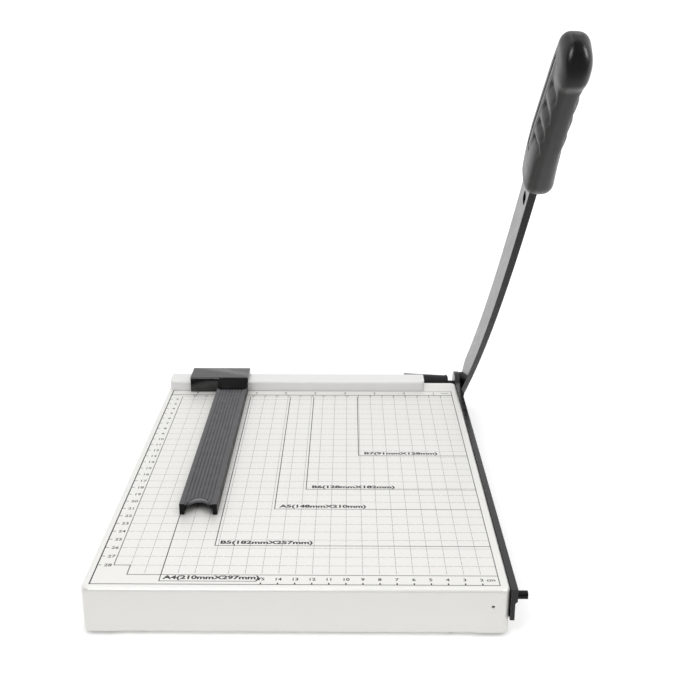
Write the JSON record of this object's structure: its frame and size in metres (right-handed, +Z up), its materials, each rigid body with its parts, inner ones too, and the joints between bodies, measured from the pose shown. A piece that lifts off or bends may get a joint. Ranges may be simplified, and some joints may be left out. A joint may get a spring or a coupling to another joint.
{
  "type": "guillotine paper trimmer",
  "caption": "Desk paper trimmer: a shallow white sheet-steel tray with a fixed blade, a curved hand-lowered blade arm with a moulded grip, and a sliding paper gauge on a rail.",
  "frame": {"origin": "under the middle of the whole trimmer's box at rest, on the table that the feet stand on", "axes": "+X to the blade's side, +Y to the rail at the back, +Z up"},
  "size_m": [0.2685, 0.3798, 0.3422],
  "materials": {
    "white_enamel": "baked warm-white enamel, satin",
    "foot_rubber": "plain black rubber",
    "dark_steel": "dark grey painted steel",
    "zinc": "zinc-plated steel",
    "white_plastic": "white moulded plastic, satin",
    "black_plastic": "glossy black moulded plastic",
    "grey_plastic": "dark grey ribbed plastic",
    "spring_steel": "oiled spring steel",
    "ground_steel": "ground steel on the cutting face, dark grey paint on the other faces"
  },
  "bodies": {
    "base": {"base_tray": "white_enamel", "rubber_feet": "foot_rubber", "fixed_blade": "dark_steel", "fixed_blade_screws": "zinc", "stop_pin": "dark_steel", "paper_rail": "white_plastic", "rail_screws": "zinc"},
    "arm": {"blade_arm": "ground_steel", "grip": "black_plastic", "grip_screws": "zinc", "pivot_bolt": "zinc", "head_washer": "zinc", "spring_housing": "black_plastic", "pivot_spring": "spring_steel", "spring_washer": "zinc", "pivot_nut": "zinc"},
    "gauge": {"gauge_block": "black_plastic", "gauge_arm": "grey_plastic", "gauge_screws": "zinc", "gauge_spring": "spring_steel"}
  },
  "joints": [
    {"name": "arm_hinge", "type": "hinge", "parent": "base", "child": "arm", "pos_m": [0.123, 0.178, 0.0245], "axis": [1, 0, 0], "range_deg": [-40, 36.5]},
    {"name": "gauge_slide", "type": "slide", "parent": "base", "child": "gauge", "axis": [1, 0, 0], "range_m": [-0.018, 0.15]}
  ]
}
